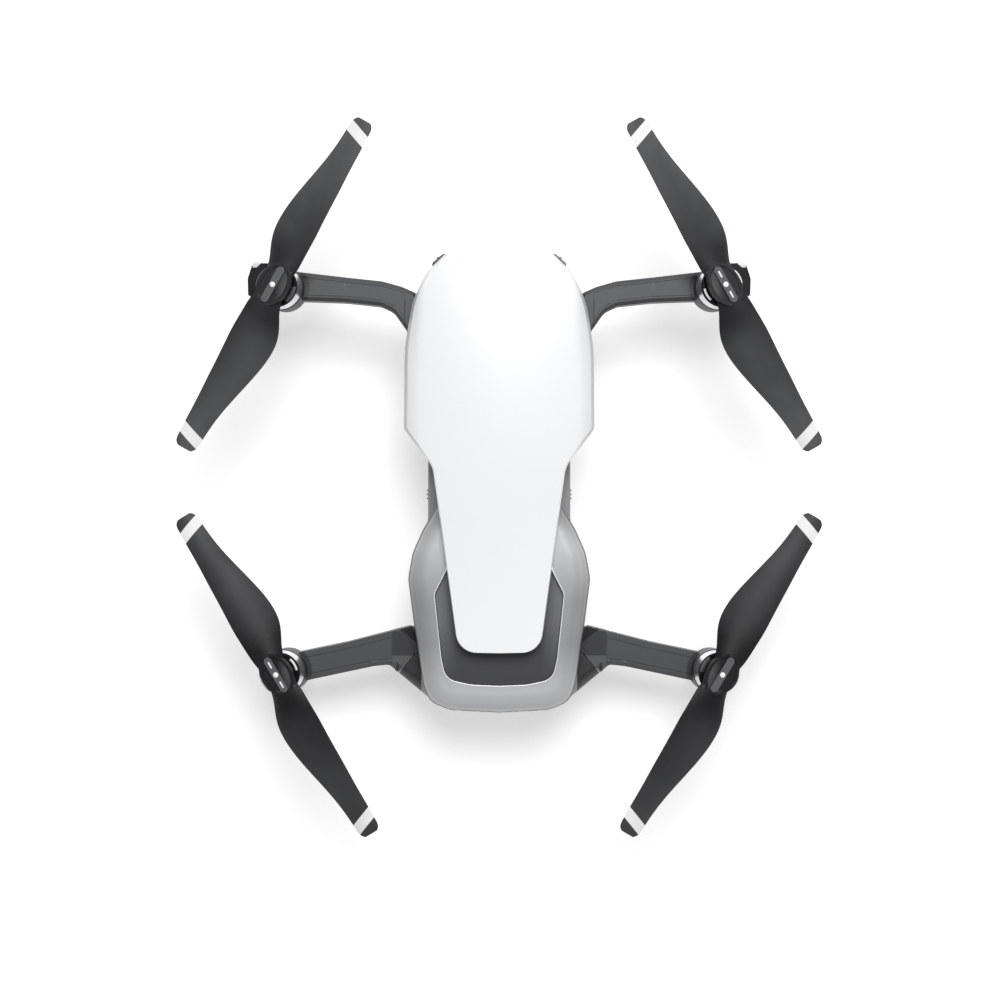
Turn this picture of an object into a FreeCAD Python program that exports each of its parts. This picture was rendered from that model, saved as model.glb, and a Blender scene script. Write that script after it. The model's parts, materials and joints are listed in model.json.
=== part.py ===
"""Folding quadcopter camera drone, built as separate pieces in millimetres.

Frame: +Z is up, the nose points along -Y and the drone's left side is +X. The origin lies on the ground,
in the middle of the four propellers. Each piece is written to parts/NAME.step.
"""

import FreeCAD, Part
import os
from math import cos, pi, radians, sin, sqrt, tan

os.makedirs("parts", exist_ok=True)

Vec = FreeCAD.Vector
X, Y, Z = Vec(1, 0, 0), Vec(0, 1, 0), Vec(0, 0, 1)

# ---------------------------------------- heights above the body's datum plane
STANCE = 3.0  # the datum plane stands this far above the ground
GROUND_Z = -STANCE
BELLY_Z = 12.0  # underside of the battery
BATTERY_FLANGE_TOP = 21.6
BATTERY_TOP = 29.8
TUB_FLOOR_Z = 13.0  # underside of the lower shell ahead of the battery
TUB_TOP = 31.3
REAR_WALL_TOP = 34.0
DECK_TOP = 41.9
WALL_TOP = 45.7  # top of the lower shell's inner walls, under the top shell
SHELL_RIM_Z = 46.0  # lower edge of the white top shell
SHELL_SKIN = 1.6

# ---------------------------------------- arms, motors and propellers
MOTOR_X = 78.4  # motor base centres
FRONT_MOTOR_Y, REAR_MOTOR_Y = -69.8, 70.6
FRONT_CUP_Z, REAR_CUP_Z = 35.0, 24.0  # underside of the motor cups
CUP_H, CUP_R = 10.0, 8.1
CANT = 6.0  # degrees that each motor axis leans outward
BELL_R, BELL_TOP_R, MAGNET_R = 7.9, 7.6, 7.25
BELL_BOTTOM, BELL_TOP = 10.4, 17.8  # along the motor axis, from the cup's underside
MOUNT_TOP = 19.8
HUB_TOP = 24.0
SHAFT_R = 1.0
BLADE_Z = 21.8
FRONT_PROP_ANGLE = 30.0  # blades' angle from the fore and aft line at rest
REAR_PROP_ANGLE = 31.8

FRONT_PIVOT = Vec(25.9, -54.0, 0)
REAR_PIVOT = Vec(34.0, 64.0, 24.0)
REAR_AXIS = Vec(cos(radians(39.7)), -sin(radians(39.7)), 0)  # outward and forward, level
PIN_R = 1.5
LEG_PIVOT = Vec(89.8, FRONT_MOTOR_Y - 4.1, 29.6)
LEG_BRACKET_HALF = 5.3

# ---------------------------------------- camera gimbal
YAW_AXIS_Y = -55.0
CAMERA = Vec(0, -70.5, 24.5)  # where the roll and tilt axes cross

# ---------------------------------------- small features
FAN_Y = -1.5
SENSOR_Y = -40.0
REAR_LENS_Y = 84.4
BUCKLE_Y0, BUCKLE_Y1 = 0.4, 10.4
BUTTON_Y = 8.0
PORT_Y0, PORT_Y1 = 36.6, 48.4
PORT_HINGE_X, PORT_HINGE_Z = -28.0, 23.2
SCREWS = [(-23, -58), (23, -58), (-20, -34), (20, -34)]


def export(name, *solids):
    """Writes one piece, or a group of like pieces, to its STEP file."""
    bodies = [body for shape in solids for body in shape.Solids]
    shape = (bodies[0] if len(bodies) == 1 else Part.makeCompound(bodies)).copy()
    shape.translate(Z * STANCE)
    shape.exportStep("parts/%s.step" % name)
    bad = [body for body in bodies if not body.isValid() or body.Volume < 0.01]
    print("%-26s %2d solids %9.1f mm3%s" % (name, len(bodies), shape.Volume, "  BAD" if bad else ""))


def box(x0, x1, y0, y1, z0, z1):
    return Part.makeBox(x1 - x0, y1 - y0, z1 - z0, Vec(x0, y0, z0))


def cylinder(radius, height, base, axis=Z):
    return Part.makeCylinder(radius, height, base, axis)


def ring(outer, inner, height, base, axis=Z):
    return cylinder(outer, height, base, axis).cut(cylinder(inner, height, base, axis))


def mirrored(shape):
    """The same piece on the drone's other side."""
    return shape.mirror(Vec(0, 0, 0), X)


def both_sides(shape):
    return [shape, mirrored(shape)]


def rounded_wire(corners, z=0.0):
    """A closed outline of straight runs and tangent arcs. Each corner is (x, y) or (x, y, radius)."""
    points = [Vec(c[0], c[1], z) for c in corners]
    radii = [c[2] if len(c) > 2 else 0.0 for c in corners]
    count = len(points)
    starts, ends, arcs = [], [], []
    for i in range(count):
        here, before, after = points[i], points[i - 1], points[(i + 1) % count]
        back, ahead = (before - here).normalize(), (after - here).normalize()
        half = back.getAngle(ahead) / 2
        if radii[i] <= 0 or half > pi / 2 - 1e-4:
            starts.append(here)
            ends.append(here)
            arcs.append(None)
            continue
        room = 0.47 * min((before - here).Length, (after - here).Length)
        reach = min(radii[i] / tan(half), room)
        radius = reach * tan(half)
        middle = here + (back + ahead).normalize() * (radius / sin(half) - radius)
        starts.append(here + back * reach)
        ends.append(here + ahead * reach)
        arcs.append(middle)
    edges = []
    for i in range(count):
        if arcs[i] is not None:
            edges.append(Part.Arc(starts[i], arcs[i], ends[i]).toShape())
        following = starts[(i + 1) % count]
        edges.append(Part.LineSegment(ends[i], following).toShape())
    return Part.Wire(edges)


def both_halves(half):
    """A half outline from the nose's middle to the tail's middle, closed by its mirror image."""
    other = [(-c[0],) + tuple(c[1:]) for c in reversed(half) if c[0] > 1e-9]
    return list(half) + other


def prism(corners, z0, z1):
    return Part.Face(rounded_wire(corners, z0)).extrude(Vec(0, 0, z1 - z0))


def tapered(lower, upper, z0, z1):
    """A solid whose outline runs straight from one outline up to another with the same corners."""
    return Part.makeLoft([rounded_wire(lower, z0), rounded_wire(upper, z1)], True, True)


def shrunk(corners, amount):
    """The outline moved inward by an amount, corner by corner."""
    count = len(corners)
    moved = []
    for i in range(count):
        here = Vec(corners[i][0], corners[i][1], 0)
        before, after = corners[i - 1], corners[(i + 1) % count]
        first = (here - Vec(before[0], before[1], 0)).normalize()
        second = (Vec(after[0], after[1], 0) - here).normalize()
        normal_a, normal_b = Vec(-first.y, first.x, 0), Vec(-second.y, second.x, 0)
        bisector = (normal_a + normal_b).normalize()
        scale = amount / max(0.3, bisector.dot(normal_a))
        radius = corners[i][2] if len(corners[i]) > 2 else 0.0
        moved.append((here.x + bisector.x * scale, here.y + bisector.y * scale, radius))
    return moved


def stack(corners, layers):
    """A solid through the same outline moved inward by each layer's amount at that layer's height."""
    wires = [rounded_wire(shrunk(corners, inset) if inset else corners, z) for inset, z in layers]
    return Part.makeLoft(wires, True, True)


def folded_rear_motor():
    """Where the left rear motor's base lands once its arm has turned half a turn about its hinge."""
    offset = Vec(MOTOR_X, REAR_MOTOR_Y, REAR_PIVOT.z) - REAR_PIVOT
    along = REAR_AXIS * offset.dot(REAR_AXIS)
    return REAR_PIVOT + along * 2 - offset


# ---------------------------------------- body outlines, as half outlines (x, y, radius)
SHELL_HALF = [
    (0, -85.4), (10, -84.7, 30), (18.8, -82.8, 5), (26.3, -75.6, 12), (31.5, -65, 30),
    (34.3, -48, 60), (34.6, -18.6, 3), (24.2, -5.0, 11), (14.9, 62.6, 7.5), (0, 62.9),
]
TUB_HALF = [
    (0, -79.5), (20, -79.5), (22.6, -79.2, 3), (28, -70, 8), (30, -60, 20), (29.5, -45, 20),
    (26.3, -31, 15), (26.3, 14, 15), (29.0, 31, 25), (29.0, 50, 30), (27.4, 68, 20), (25.4, 78, 7),
    (20, 82.6, 8), (0, 83.6),
]
COWL_HALF = [
    (14, 9.0), (22.4, 9.0, 0.6), (27.8, 17.9, 10), (31.7, 26.6, 16), (33.4, 36, 14),
    (30.8, 56, 60), (27.9, 75, 25), (25.4, 81.2, 7), (18, 84.2, 12), (0, 85.2),
]
DECK_HALF = [
    (12, 20), (16.5, 20), (19.0, 32.9, 1), (23.4, 41.5, 4), (20.9, 65, 20), (19.2, 72.4, 7), (10, 74.4, 20),
    (0, 74.8),
]
BATTERY_HALF = [
    (0, -30), (19, -30, 4), (24.6, -24, 6), (24.6, 24, 20), (27.4, 35, 12), (27.2, 50, 8), (22.4, 59, 6),
    (19.5, 71.6, 6), (0, 72.4),
]
BAY_HALF = [(0, -28), (19.4, -28, 3), (19.4, 66, 3), (0, 66)]
FRONT_WALLS_HALF = [
    (0, -66.5), (18.3, -66.5), (18.3, -35, 2), (23, -30, 2), (23, -2), (20.4, 15.5), (0, 15.5),
]
FRONT_BAY_HALF = [
    (0, -64.8), (16.6, -64.8), (16.6, -34.4, 2), (21.3, -29.4, 2), (21.3, -2.6), (18.8, 13.8), (0, 13.8),
]
NOSE_HALF = [
    (0, -81.6), (12, -81.8, 20), (20.4, -82.2, 1.5), (24.4, -78.8, 1.5), (24.0, -69, 3), (18.6, -66.8),
    (0, -66.8),
]
COWL_SIDE_Z = 39.4  # height at which the cowl is widest
COWL_ROLL, COWL_RISE, COWL_STEPS = 7.2, 4.6, 12  # its rounded shoulder: reach, height and facets
WING_LEAN = 1.9  # how far the top shell's wings lean in over their height
FRONT_ARM = [
    (25.9, -61.2), (30.6, -68.4, 2), (35.6, -70.6, 4), (42.7, -72.6, 10), (56, -74.0, 40),
    (78.4, -76.6), (78.4, -65.8), (56, -65.0, 40), (43.4, -63.6, 5), (38.6, -61.4, 6),
    (33.8, -54.6, 3), (32.4, -49.4, 4), (25.9, -46.8),
]
REAR_ARM = [
    (28.0, 54.0), (36.0, 55.0, 4), (56.3, 60.2, 40), (78.4, 64.8), (78.4, 75.8), (59.7, 71.8, 40),
    (46.4, 69.0, 20), (40.2, 68.4, 3), (35.8, 73.8, 2), (26.0, 62.0, 2),
]
FRONT_KNUCKLE_R = 7.3


def dome(drop=0.0):
    """The volume under the top shell's crowned skin, taller over the wings than at nose and tail."""
    stations = [
        (-92, 47.0), (-80, 49.6), (-60, 51.9), (-35, 52.9), (-12, 52.7), (15, 51.4), (45, 49.6), (72, 48.2),
    ]
    half, fall, bottom = 42.0, 5.2, 30.0
    sections = []
    for y, crown in stations:
        left, right = Vec(-half, y, crown - fall - drop), Vec(half, y, crown - fall - drop)
        lower_left, lower_right = Vec(-half, y, bottom), Vec(half, y, bottom)
        edges = [
            Part.Arc(left, Vec(0, y, crown - drop), right).toShape(),
            Part.LineSegment(right, lower_right).toShape(),
            Part.LineSegment(lower_right, lower_left).toShape(),
            Part.LineSegment(lower_left, left).toShape(),
        ]
        sections.append(Part.Wire(edges))
    return Part.makeLoft(sections, True, False)


def leaned(half):
    """The top shell's outline higher up: its wings lean inward, its tail tongue hardly does."""
    out = []
    for corner in half:
        lean = WING_LEAN if corner[1] < -10 else 0.6
        width = max(0.0, corner[0] - lean) if corner[0] > 0 else 0.0
        shift = 1.2 if corner[1] < -70 else (-0.5 if corner[1] > 60 else 0.0)
        out.append((width, corner[1] + shift) + tuple(corner[2:]))
    return out


# ---------------------------------------- body shells
def make_top_shell():
    height = 5.0
    low, high = both_halves(SHELL_HALF), both_halves(leaned(SHELL_HALF))
    outer = tapered(low, high, SHELL_RIM_Z, SHELL_RIM_Z + height)
    outer = outer.fuse(prism(high, SHELL_RIM_Z + height, 58)).removeSplitter().common(dome())
    inner_outline = both_halves(leaned(leaned(SHELL_HALF)))
    shell = outer.cut(prism(inner_outline, SHELL_RIM_Z - 1, 58).common(dome(SHELL_SKIN)))
    # The tongue's side walls reach down to the cowl, and further back to the deck.
    skirt = prism(shrunk(low, 0.1), 42.2, SHELL_RIM_Z + 0.2).cut(prism(shrunk(low, 1.7), 42, 50))
    over_cowl = skirt.common(box(-40, 40, 16.2, 33.4, 44.3, 50))
    over_deck = skirt.common(box(-40, 40, 33.4, 70, 42.2, 50))
    # Bosses over the front hinge pins, and posts for the positioning antenna.
    boss = cylinder(4.2, 14, FRONT_PIVOT + Z * 42.5)
    boss = boss.cut(cylinder(PIN_R, 3.1, FRONT_PIVOT + Z * 42.4)).common(dome(SHELL_SKIN / 2))
    posts = [cylinder(1.4, 6, Vec(x, y, 47.4)) for x in (-10, 10) for y in (-40, -24)]
    posts = [post.common(dome(SHELL_SKIN / 2)) for post in posts]
    return shell.fuse([over_cowl, over_deck] + both_sides(boss) + posts).removeSplitter()


def make_lower_shell():
    """The tub round the battery, the walls that carry the top shell, and the rear hinges' fixed barrels."""
    tub = both_halves(TUB_HALF)
    floor = TUB_FLOOR_Z
    layers = [(2.2, floor), (0.5, floor + 1.8), (0, floor + 4), (0, TUB_TOP - 0.5), (0.5, TUB_TOP)]
    body = stack(tub, layers)
    rear = prism(tub, TUB_TOP, REAR_WALL_TOP).common(box(-40, 40, 17, 90, 0, 60))
    front_walls = prism(both_halves(FRONT_WALLS_HALF), TUB_TOP, WALL_TOP)
    hinge = cylinder(8.3, 15.5, REAR_PIVOT - REAR_AXIS * 18.0, REAR_AXIS)
    hinge = hinge.common(box(0, 60, 40, 90, 15.5, 31.0))
    body = body.fuse([rear, front_walls] + both_sides(hinge)).removeSplitter()
    # Electronics bays, open at the top; a shelf closes the gimbal bay's roof.
    bay_floor = TUB_TOP + 1.3
    front_bay = prism(both_halves(FRONT_BAY_HALF), bay_floor, 60)
    shelf = box(-17, 17, -65, -48, 0, 40.2)
    rear_bay = prism(shrunk(tub, 1.8), bay_floor, 60).common(box(-40, 40, 19, 90, 0, 60))
    # Battery bay, open below, with the step that the battery's flange closes against.
    core = prism(both_halves(BAY_HALF), 0, BATTERY_TOP + 0.5)
    flange = prism(shrunk(both_halves(BATTERY_HALF), -0.4), 0, BATTERY_FLANGE_TOP + 0.4)
    sides = box(-60, 60, -25, 62, 0, BATTERY_FLANGE_TOP + 0.4)
    barrel = cylinder(8.6, 15.6, REAR_PIVOT - REAR_AXIS * 18.05, REAR_AXIS)
    sides = sides.cut(both_sides(barrel))
    gimbal_bay = box(-19.4, 19.4, -90, -49, 0, TUB_TOP)
    gimbal_bay_top = box(-16.6, 16.6, -90, -49, TUB_TOP - 1, 38.5)
    knuckle = cylinder(9.2, 13.0, REAR_PIVOT - REAR_AXIS * 2.5, REAR_AXIS)
    folded_motor = cylinder(9.7, 40, Vec(FOLDED_REAR_MOTOR.x, FOLDED_REAR_MOTOR.y, 0))
    front_hole = cylinder(PIN_R, 6.0, FRONT_PIVOT + Z * 26.0)
    rear_hole = cylinder(PIN_R, 8.0, REAR_PIVOT - REAR_AXIS * 10.0, REAR_AXIS)
    cuts = [front_bay.cut(shelf), rear_bay, core, flange, sides, gimbal_bay, gimbal_bay_top]
    cuts += both_sides(knuckle) + both_sides(folded_motor) + both_sides(front_hole) + both_sides(rear_hole)
    body = body.cut(cuts)
    # The port bay in the right side, with sockets for the cover's pin.
    body = body.cut([
        box(-31, -24, PORT_Y0, PORT_Y1, BATTERY_FLANGE_TOP, 30),
        cylinder(0.64, PORT_Y1 - PORT_Y0 + 2.0, Vec(PORT_HINGE_X, PORT_Y0 - 1.0, PORT_HINGE_Z), Y),
    ])
    # Standoffs for the boards, air slots in the waist walls, the charging contacts' slot.
    places = [(x, y) for x in (-16, 16) for y in (-24, 9, 26, 60)]
    body = body.fuse([cylinder(1.7, 1.7, Vec(x, y, bay_floor - 0.2)) for x, y in places])
    slots = [box(-30, 30, y, y + 2.2, 37, 41) for y in (-20, -15.5, -11, -6.5)]
    body = body.cut(slots + [box(-8.6, 8.6, 50, 55.4, 25, 40)])
    # The downward sensors' windows behind the gimbal.
    windows = [cylinder(3.3, 1.2, Vec(x, SENSOR_Y, TUB_FLOOR_Z)) for x in (-11, 11)]
    windows += [cylinder(1.9, 1.2, Vec(x, SENSOR_Y, TUB_FLOOR_Z)) for x in (-3.4, 3.4)]
    screws = [cylinder(1.75, 1.0, Vec(x, y, TUB_FLOOR_Z)) for x, y in SCREWS]
    return body.cut(windows + screws)


def make_rear_cowl():
    """The satin ring round the shell's tail: it rolls over from the sides and steps down to the deck."""
    outline = both_halves(COWL_HALF)
    below = [(3.2, 34.3), (1.2, 35.6), (0.2, 37.6), (0, COWL_SIDE_Z)]
    turns = [radians(90 / COWL_STEPS * step) for step in range(1, COWL_STEPS + 1)]
    above = [(COWL_ROLL * (1 - cos(turn)), COWL_SIDE_Z + COWL_RISE * sin(turn)) for turn in turns]
    outer = stack(outline, below + above)
    inner = stack(outline, [(4.8, 34.2), (2.8, 35.6), (1.9, 37.6), (1.8, 39.4), (3.0, 40.6), (4.0, 41.0)])
    walls = prism(shrunk(both_halves(FRONT_WALLS_HALF), -0.3), 30, 60)
    under_deck = [(14, 15.8), (15.5, 15.8), (17.0, 25, 4), (21.4, 41.5, 4), (18.9, 65, 20), (17.0, 70.6, 7),
                  (0, 72.8)]
    deck = prism(shrunk(both_halves(DECK_HALF), -0.15), DECK_TOP - 1.5, 60)
    cowl = outer.cut([inner, walls, prism(both_halves(under_deck), 30, 60), deck])
    lenses = [cylinder(2.5, 4.0, Vec(x, REAR_LENS_Y - 2.2, 37.9), Y) for x in (-15.0, 15.0)]
    vents = [box(x - 0.6, x + 0.6, 80, 90, 37.6, 40.4) for x in (-7.5, -5, 5, 7.5)]
    return cowl.cut(lenses + vents + [box(-2.7, 2.7, 80, 90, 37.6, 40.2)])


def make_deck():
    deck = prism(both_halves(DECK_HALF), DECK_TOP - 1.3, DECK_TOP)
    ribs = [box(x - 0.5, x + 0.5, 22, 62, DECK_TOP - 2.6, DECK_TOP - 1.2) for x in (-12, 0, 12)]
    return deck.fuse(ribs)


def make_nose_housing():
    """The dark face round the camera's opening: two cheeks with a sensor each, and a vented bridge."""
    body = stack(both_halves(NOSE_HALF), [(0.8, 31.7), (0, 33), (0, WALL_TOP - 0.2)])
    body = body.cut(box(-16.6, 16.6, -90, -60, 30, 40.2))
    sockets = [cylinder(2.9, 4, Vec(x, -84, 38.2), Y) for x in (-20.2, 20.2)]
    emitters = [cylinder(1.1, 4, Vec(x, -84, 38.2), Y) for x in (-15.9, 15.9)]
    vents = [box(x - 0.7, x + 0.7, -84, -78, 41.6, 44.2) for x in [-12 + 3 * i for i in range(9)]]
    return body.cut(sockets + emitters + vents)


def lens(centre, direction, radius):
    """A domed sensor lens on a short barrel, facing along a direction."""
    barrel = cylinder(radius, 1.2, centre, direction)
    ball_r = radius * 1.5
    ball = Part.makeSphere(ball_r, centre + direction * (1.2 - sqrt(ball_r ** 2 - (radius * 0.85) ** 2)))
    return barrel.fuse(ball.common(cylinder(radius * 0.86, 3, centre, direction)))


# ---------------------------------------- electronics and cooling
def make_main_board():
    board = box(-18.2, 18.2, -28.6, 12.6, 34.2, 35.4)
    chips = [
        box(-12, -2, -26, -18, 35.4, 36.8),
        box(15, 17.9, -24, 8, 35.4, 38.2),
        box(-17.8, -15, -20, 4, 35.4, 37.6),
    ]
    return board.fuse(chips)


def make_power_board():
    board = box(-18.4, 18.4, 22.5, 66, 34.2, 35.4)
    cans = [cylinder(3.0, 3.4, Vec(x, 62, 35.4)) for x in (-14, -7, 7, 14)]
    chips = [box(x - 4, x + 4, y - 4, y + 4, 35.4, 37.2) for x in (-11, 11) for y in (30, 43)]
    return board.fuse(cans + chips)


def make_heat_sink():
    base = box(-13, 13, -27.6, -18, 36.9, 38.3)
    fins = [box(x - 0.5, x + 0.5, -27.6, -18, 38.3, 44.5) for x in [-12.4 + 3.1 * i for i in range(9)]]
    return base.fuse(fins)


def make_fan_housing():
    body = box(-14.5, 14.5, FAN_Y - 14.5, FAN_Y + 14.5, 36.2, 44.6)
    chamber = cylinder(12.6, 6.2, Vec(0, FAN_Y, 37.4))
    inlet = cylinder(8.5, 4, Vec(0, FAN_Y, 42))
    outlet = box(-2, 12.6, FAN_Y - 20, FAN_Y, 37.4, 43.6)
    return body.cut([chamber, inlet, outlet]).fuse(cylinder(0.95, 6.5, Vec(0, FAN_Y, 37.3)))


def make_fan_rotor():
    hub = cylinder(4.4, 5.0, Vec(0, FAN_Y, 37.8))
    disc = cylinder(11.6, 0.8, Vec(0, FAN_Y, 37.8))
    blades = []
    for i in range(17):
        blade = box(6.2, 11.6, FAN_Y - 0.35, FAN_Y + 0.35, 38.4, 42.8)
        blade.rotate(Vec(6.2, FAN_Y, 0), Z, 35)
        blade.rotate(Vec(0, FAN_Y, 0), Z, 360 / 17 * i)
        blades.append(blade.common(cylinder(11.9, 9, Vec(0, FAN_Y, 36))))
    return hub.fuse([disc] + blades).cut(cylinder(1.0, 9, Vec(0, FAN_Y, 36)))


# ---------------------------------------- arms
def set_motor(shape, front, side=1):
    """Places something made on a motor's own axis onto the left arm, or with side -1 onto the right one."""
    y, z = (FRONT_MOTOR_Y, FRONT_CUP_Z) if front else (REAR_MOTOR_Y, REAR_CUP_Z)
    placed = shape.copy()
    placed.rotate(Vec(0, 0, 0), Y, CANT * side)
    placed.translate(Vec(MOTOR_X * side, y, z))
    return placed


def cup():
    lower = Part.makeCone(6.8, CUP_R, 2.0, Vec(0, 0, -2.0), Z)
    return lower.fuse(cylinder(CUP_R, CUP_H, Vec(0, 0, 0)))


def cup_room():
    """The space for the stator inside a cup, with the bearing post left standing."""
    room = cylinder(CUP_R - 0.9, 20, Vec(0, 0, 1.5)).cut(cylinder(2.6, 8.0, Vec(0, 0, 1.5)))
    return room.fuse(cylinder(SHAFT_R + 0.05, 12, Vec(0, 0, 0.6)))


def cover_groove(outline, inset, top, x0, x1):
    """The fine groove round an arm's cover, which starts at a seam near the root."""
    width, depth = 0.3, 0.35
    outer = prism(shrunk(outline, inset), top - depth, top + 1)
    inner = prism(shrunk(outline, inset + width), top - depth, top + 1)
    full = prism(outline, top - depth, top + 1)
    loop = outer.cut(inner).common(box(x0, x1, -100, 100, 0, 60))
    return [loop, full.common(box(x0, x0 + width, -100, 100, 0, 60))]


def make_front_arm():
    layers = [(1.2, 32.0), (0, 33.2), (0, 40.6), (1.3, 42.0)]
    arm = stack(FRONT_ARM, layers).cut(cover_groove(FRONT_ARM, 1.75, 42.0, 34.4, 72))
    knuckle = cylinder(FRONT_KNUCKLE_R, 10.0, FRONT_PIVOT + Z * 32.0)
    arm = arm.fuse([knuckle, set_motor(cup(), True)])
    # The landing leg's bracket, with two ears round its pin.
    y0, y1 = LEG_PIVOT.y - LEG_BRACKET_HALF, LEG_PIVOT.y + LEG_BRACKET_HALF
    outline = [(83, y0), (87.0, y0, 0.5), (88.6, y0 + 1.5), (90.6, y0 + 1.6, 0.6), (91.9, y0 + 5.6, 4),
               (91.7, y1 + 1.3, 0.6), (83, y1 + 1.3)]
    bracket = prism(outline, 31.7, 41.0)
    ears = [cylinder(1.9, 1.9, Vec(LEG_PIVOT.x, y, LEG_PIVOT.z), Y) for y in (y0, y1 - 1.9)]
    ears += [box(LEG_PIVOT.x - 1.9, 91.6, y, y + 1.9, LEG_PIVOT.z, 32) for y in (y0, y1 - 1.9)]
    arm = arm.fuse([bracket] + ears).removeSplitter()
    pin_hole = cylinder(PIN_R + 0.05, 12, FRONT_PIVOT + Z * 31)
    leg_hole = cylinder(0.94, 12, Vec(LEG_PIVOT.x, y0 - 0.5, LEG_PIVOT.z), Y)
    seat = box(86.8, 90.5, y0 - 1.0, y0 + 2.4, 33.6, 38.4)
    return arm.cut([set_motor(cup_room(), True), pin_hole, leg_hole, seat])


def make_front_light():
    """The lamp window ahead of the leg's bracket."""
    y0 = LEG_PIVOT.y - LEG_BRACKET_HALF
    window = box(86.9, 90.4, y0 - 0.8, y0 + 2.3, 33.7, 38.3)
    return window.makeFillet(0.6, [edge for edge in window.Edges if edge.CenterOfMass.y < y0 - 0.7])


def make_rear_arm():
    layers = [(1.6, 20.4), (0, 21.9), (0, 29.6), (1.4, 31.0)]
    arm = stack(REAR_ARM, layers)
    knuckle = cylinder(8.3, 11.7, REAR_PIVOT - REAR_AXIS * 2.2, REAR_AXIS)
    slab = prism([(20, 51), (36, 55.1, 3), (48, 58.1), (48, 80), (20, 80)], 19.0, 31.0)
    knuckle = knuckle.common(slab)
    block = cylinder(8.6, 40, REAR_PIVOT - REAR_AXIS * 2.2, REAR_AXIS)
    far = arm.common(box(38, 100, 40, 90, 0, 60))
    near = arm.common(block)
    grooves = cover_groove(REAR_ARM, 2.1, 31.0, 39.6, 72)
    arm = near.fuse([far, knuckle]).cut(grooves).fuse(set_motor(cup(), False))
    # A fin under the motor ends in the rear foot.
    outline = [(70.5, 68.8, 1.2), (82.5, 70.4, 1.2), (82.5, 73.8, 1.2), (70.5, 72.2, 1.2)]
    fin = prism(outline, GROUND_Z + 0.8, 24)
    cone = tapered_box((70.5, 82.5), (74.4, 81.0), (60, 80), (60, 80), 24, GROUND_Z + 0.8)
    arm = arm.fuse(fin.common(cone)).removeSplitter()
    pin_hole = cylinder(PIN_R + 0.05, 13, REAR_PIVOT - REAR_AXIS * 3, REAR_AXIS)
    return arm.cut([set_motor(cup_room(), False), pin_hole])


def tapered_box(x_low, x_high, y_low, y_high, z_low, z_high):
    """A block whose rectangle at one height runs straight to another rectangle at another height."""
    wires = []
    for (x0, x1), (y0, y1), z in ((x_low, y_low, z_low), (x_high, y_high, z_high)):
        corners = [Vec(x0, y0, z), Vec(x1, y0, z), Vec(x1, y1, z), Vec(x0, y1, z), Vec(x0, y0, z)]
        wires.append(Part.makePolygon(corners))
    return Part.makeLoft(wires, True, True)


def make_leg():
    """The front landing leg: a tapering plate below its pivot, with the pivot pin in one piece."""
    x, y, z = LEG_PIVOT
    root_x, foot_x = (x - 1.6, x + 1.6), (x - 1.2, x + 1.2)
    plate = tapered_box(root_x, foot_x, (y - 5.0, y + 5.0), (y - 3.4, y + 3.6), z - 2.9, GROUND_Z + 0.8)
    neck = box(x - 1.6, x + 1.6, y - 3.1, y + 3.1, z - 3.2, z)
    barrel = cylinder(1.6, 6.2, Vec(x, y - 3.1, z), Y)
    pin = cylinder(0.9, 10.0, Vec(x, y - 5.0, z), Y)
    return plate.fuse([neck, barrel, pin]).removeSplitter()


def foot_pad(x0, x1, y0, y1):
    low_x, low_y = (x0 + 0.4, x1 - 0.4), (y0 + 0.4, y1 - 0.4)
    return tapered_box(low_x, (x0, x1), low_y, (y0, y1), GROUND_Z, GROUND_Z + 0.8)


# ---------------------------------------- motors and propellers
def make_stator():
    core = ring(3.7, 2.62, 6.4, Vec(0, 0, 8.0))
    teeth = []
    for i in range(9):
        tooth = box(3.4, 6.2, -0.7, 0.7, 8.0, 14.4)
        shoe = ring(6.6, 6.0, 6.4, Vec(0, 0, 8.0)).common(box(5, 7, -1.9, 1.9, 7, 15))
        coil = box(3.9, 5.8, -1.2, 1.2, 7.4, 15.0)
        piece = tooth.fuse([shoe, coil])
        piece.rotate(Vec(0, 0, 0), Z, 40 * i)
        teeth.append(piece)
    plate = ring(6.9, 2.62, 1.0, Vec(0, 0, 6.4))
    return core.fuse(teeth + [plate.fuse(ring(3.2, 2.62, 1.2, Vec(0, 0, 7.0)))])


def make_bell():
    """The rotating motor bell with its magnet ring, shaft and the propeller's mount."""
    foot_h, flare_h = 1.2, BELL_TOP - BELL_BOTTOM - 1.8
    foot = cylinder(BELL_R, foot_h, Vec(0, 0, BELL_BOTTOM))
    flare = Part.makeCone(BELL_R, BELL_TOP_R, flare_h, Vec(0, 0, BELL_BOTTOM + foot_h), Z)
    crown = Part.makeCone(BELL_TOP_R, BELL_TOP_R - 0.5, 0.6, Vec(0, 0, BELL_TOP - 0.6), Z)
    inside = cylinder(MAGNET_R, BELL_TOP - BELL_BOTTOM - 1.0, Vec(0, 0, BELL_BOTTOM))
    mount = cylinder(4.4, MOUNT_TOP - BELL_TOP + 0.2, Vec(0, 0, BELL_TOP - 0.2))
    bell = foot.fuse([flare, crown]).cut(inside).fuse(mount).removeSplitter()
    windows = []
    for i in range(6):
        window = ring(6.8, 4.9, 4, Vec(0, 0, BELL_TOP - 3)).common(box(0, 9, -1.5, 1.5, 10, 25))
        window.rotate(Vec(0, 0, 0), Z, 60 * i + 30)
        windows.append(window)
    bell = bell.cut(windows + [cylinder(SHAFT_R, 8, Vec(0, 0, BELL_TOP - 2))])
    magnets = ring(MAGNET_R, 6.85, 4.6, Vec(0, 0, BELL_BOTTOM + 0.4))
    shaft = cylinder(SHAFT_R, MOUNT_TOP - 2.6, Vec(0, 0, 2.4))
    return [bell, magnets, shaft]


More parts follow.
